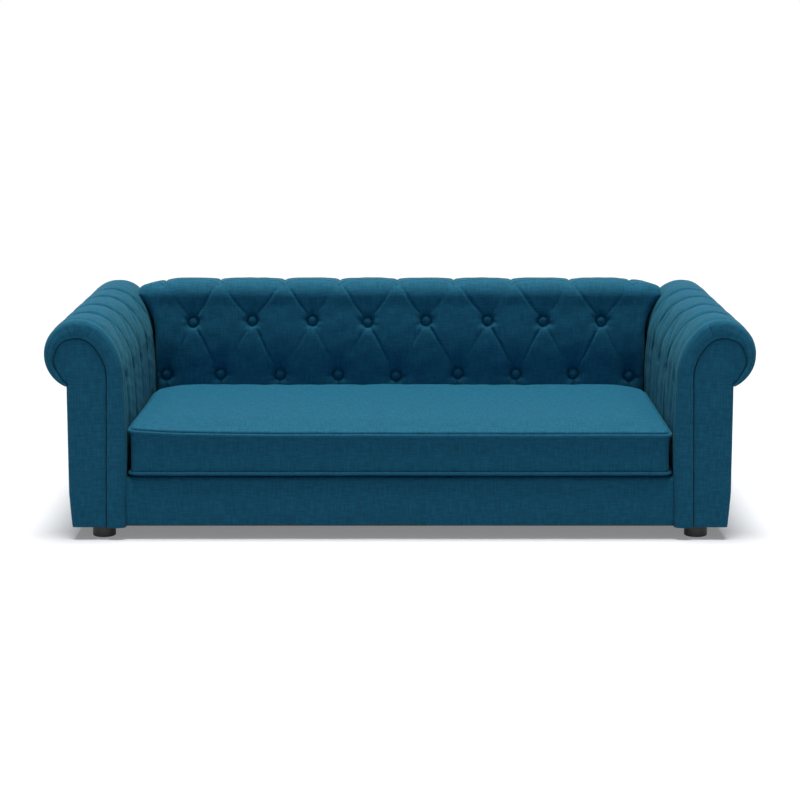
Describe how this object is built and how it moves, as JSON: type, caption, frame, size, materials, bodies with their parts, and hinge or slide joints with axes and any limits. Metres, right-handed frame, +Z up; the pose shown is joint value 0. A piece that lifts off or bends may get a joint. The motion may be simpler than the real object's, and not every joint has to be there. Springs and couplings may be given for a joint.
{
  "type": "dog sofa bed",
  "caption": "Low chesterfield sofa bed for a dog with rolled arms, a tufted back, a loose boxed cushion with piping and round feet.",
  "frame": {"origin": "on the floor, under the middle of the whole sofa", "axes": "+X to the viewer's right along the sofa, +Y from the front to the back, +Z up"},
  "size_m": [1.0004, 0.5202, 0.3213],
  "materials": {
    "upholstery": "plain woven teal upholstery cloth",
    "button_cloth": "the same cloth drawn over button moulds",
    "piping_cloth": "the same cloth cut on the bias round a cord",
    "deck_cloth": "thin plain lining cloth",
    "dust_cloth": "black spun-bonded dust cloth",
    "foam": "open-cell foam",
    "timber": "planed pine",
    "plywood": "sanded plywood",
    "hardboard": "smooth brown hardboard",
    "foot_plastic": "moulded matt black plastic",
    "steel": "zinc-plated steel",
    "zip_tape": "woven zip tape with a nylon coil",
    "zip_metal": "enamelled zinc"
  },
  "bodies": {
    "root": {"arm_front_board_left": "plywood", "arm_front_board_right": "plywood", "arm_rear_board_left": "plywood", "arm_rear_board_right": "plywood", "arm_bottom_rail_left": "timber", "arm_bottom_rail_right": "timber", "arm_roll_rail_left": "timber", "arm_roll_rail_right": "timber", "arm_inner_panel_left": "hardboard", "arm_inner_panel_right": "hardboard", "arm_outer_panel_left": "hardboard", "arm_outer_panel_right": "hardboard", "arm_foam_left": "foam", "arm_foam_right": "foam", "arm_cover_left": "upholstery", "arm_cover_right": "upholstery", "arm_front_facing_left": "upholstery", "arm_front_facing_right": "upholstery", "arm_front_border_left": "upholstery", "arm_front_border_right": "upholstery", "arm_outer_cover_left": "upholstery", "arm_outer_cover_right": "upholstery", "arm_rear_facing_left": "upholstery", "arm_rear_facing_right": "upholstery", "arm_buttons": "button_cloth", "back_board": "plywood", "back_top_rail": "timber", "back_bottom_rail": "timber", "back_post_left": "timber", "back_post_right": "timber", "back_foam": "foam", "back_cover": "upholstery", "back_rear_panel": "hardboard", "back_rear_cover": "upholstery", "back_buttons_upper": "button_cloth", "back_buttons_lower": "button_cloth", "base_front_rail": "timber", "base_rear_rail": "timber", "base_side_rail_left": "timber", "base_side_rail_right": "timber", "base_bearer": "timber", "deck_board": "plywood", "deck_cover": "deck_cloth", "base_front_pad": "upholstery", "dust_cover": "dust_cloth", "foot_front_left": "foot_plastic", "foot_rear_left": "foot_plastic", "foot_front_right": "foot_plastic", "foot_rear_right": "foot_plastic", "foot_screws": "steel", "arm_bolts": "steel", "back_bolts": "steel"},
    "cushion": {"cushion_core": "foam", "cushion_cover": "upholstery", "cushion_piping": "piping_cloth", "zip_tape": "zip_tape"},
    "zip_slider": {"zip_slider": "zip_metal"},
    "zip_pull": {"zip_pull": "zip_metal"}
  },
  "joints": [
    {"name": "cushion_lift", "type": "slide", "parent": "root", "child": "cushion", "axis": [0, 0, 1], "range_m": [0, 0.25]},
    {"name": "zip_slide", "type": "slide", "parent": "cushion", "child": "zip_slider", "axis": [1, 0, 0], "range_m": [-0.575, 0]},
    {"name": "zip_pull_swing", "type": "hinge", "parent": "zip_slider", "child": "zip_pull", "pos_m": [0.2853, 0.148, 0.1245], "axis": [0, 1, 0], "range_deg": [-40, 100]}
  ]
}
